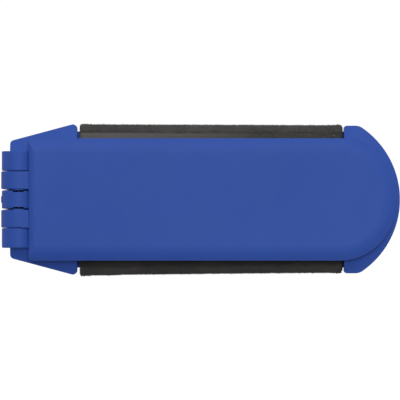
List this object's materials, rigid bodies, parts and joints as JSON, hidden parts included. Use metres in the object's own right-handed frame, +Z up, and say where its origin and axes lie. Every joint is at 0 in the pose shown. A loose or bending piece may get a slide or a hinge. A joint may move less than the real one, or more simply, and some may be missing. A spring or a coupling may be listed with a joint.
{
  "type": "folding chalkboard eraser",
  "caption": "Folding chalkboard eraser in blue plastic: a hinged handle closes over a black pile pad between a trapezoid hinge end and a rounded nose.",
  "frame": {"origin": "under the middle of the folded eraser, on the plane of the back cover that it rests on", "axes": "+X from the hinge to the nose, +Z up out of the back towards the folded handle, +Y across"},
  "size_m": [0.125, 0.0474, 0.014],
  "materials": {
    "head_plastic": "moulded blue plastic, satin",
    "cover_plastic": "moulded blue plastic, satin",
    "handle_plastic": "moulded blue plastic, satin",
    "pin_steel": "drawn steel wire, blackened, cut ends",
    "carrier_plastic": "black moulded plastic",
    "tape_film": "pale double-sided tape",
    "pad_foam": "dark grey open-cell foam",
    "pile_cloth": "black directional pile cloth"
  },
  "bodies": {
    "head": {"head_shell": "head_plastic", "back_cover": "cover_plastic", "hinge_pin": "pin_steel", "pad_carrier": "carrier_plastic", "foam_tape": "tape_film", "foam_cushion": "pad_foam", "pile_cover": "pile_cloth"},
    "handle": {"handle_shell": "handle_plastic"}
  },
  "joints": [
    {"name": "handle_fold", "type": "hinge", "parent": "head", "child": "handle", "pos_m": [-0.057, 0, 0.007], "axis": [0, -1, 0], "range_deg": [0, 180]}
  ]
}
